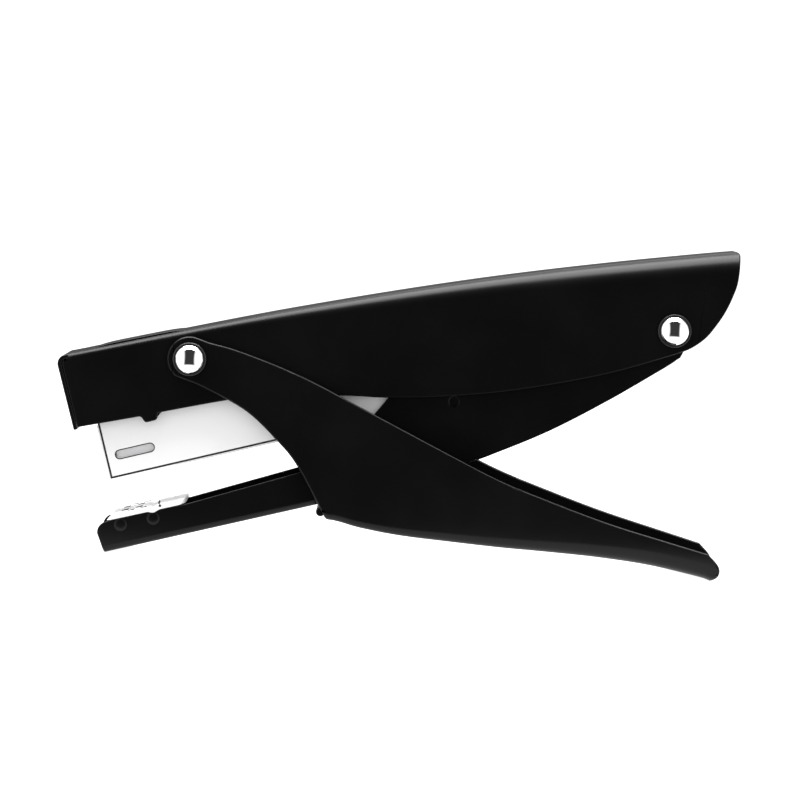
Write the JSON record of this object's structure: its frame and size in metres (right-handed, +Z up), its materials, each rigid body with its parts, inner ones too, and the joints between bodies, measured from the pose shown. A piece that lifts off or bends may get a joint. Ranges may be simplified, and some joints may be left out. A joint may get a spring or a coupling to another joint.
{
  "type": "stapler",
  "caption": "Hand-grip plier stapler: pressed-steel cover and lower handle, anvil arm, plated magazine with driver, pusher and return springs, joined by two rivets.",
  "frame": {"origin": "below the middle of the stapler's box, on the surface that it stands on", "axes": "+X from the nose to the tail, +Y across the stapler, +Z up"},
  "size_m": [0.1624, 0.0323, 0.0796],
  "materials": {
    "black_paint": "satin black stoved paint",
    "nickel_plate": "bright nickel plate",
    "chrome": "polished chrome plate",
    "steel": "bright drawn steel",
    "spring_steel": "drawn spring wire",
    "black_oxide": "black oxide"
  },
  "bodies": {
    "cover": {"cover_shell": "black_paint", "driver_blade": "steel", "driver_block": "black_oxide", "front_rivet_post": "chrome", "front_rivet_cap": "chrome", "rear_rivet_post": "chrome", "rear_rivet_cap": "chrome", "front_washer_near": "black_oxide", "front_washer_far": "black_oxide", "rear_washer_near": "black_oxide", "rear_washer_far": "black_oxide", "front_sleeve": "steel", "rear_sleeve": "steel", "arm_spring": "spring_steel", "magazine_spring": "spring_steel"},
    "handle": {"lower_handle": "black_paint"},
    "arm": {"anvil_arm": "black_paint", "anvil_plate": "nickel_plate"},
    "magazine": {"magazine_channel": "nickel_plate", "staple_rail": "steel", "rail_stop": "steel", "guide_rod": "steel", "pusher_spring": "spring_steel"},
    "pusher": {"pusher": "steel"}
  },
  "joints": [
    {"name": "handle_squeeze", "type": "hinge", "parent": "cover", "child": "handle", "pos_m": [-0.0495, 0, 0.0479], "axis": [0, -1, 0], "range_deg": [0, 17.7], "stiffness_Nm_per_rad": 1, "springref_deg": -40.11},
    {"name": "arm_swing", "type": "hinge", "parent": "cover", "child": "arm", "pos_m": [0.06615, 0, 0.06005], "axis": [0, 1, 0], "range_deg": [0, 6.2], "deforming": ["arm_spring"]},
    {"name": "magazine_swing", "type": "hinge", "parent": "cover", "child": "magazine", "pos_m": [0.06615, 0, 0.06005], "axis": [0, 1, 0], "range_deg": [0, 2.9], "deforming": ["magazine_spring"]},
    {"name": "pusher_slide", "type": "slide", "parent": "magazine", "child": "pusher", "axis": [0.9625, 0, 0.2711], "range_m": [0, 0.07], "stiffness_N_per_m": 30, "springref_m": -0.03, "deforming": ["pusher_spring"]}
  ],
  "couplings": [
    {"joint": "arm_swing", "follows": "handle_squeeze", "ratio": 0.3385},
    {"joint": "magazine_swing", "follows": "handle_squeeze", "ratio": 0.161}
  ]
}
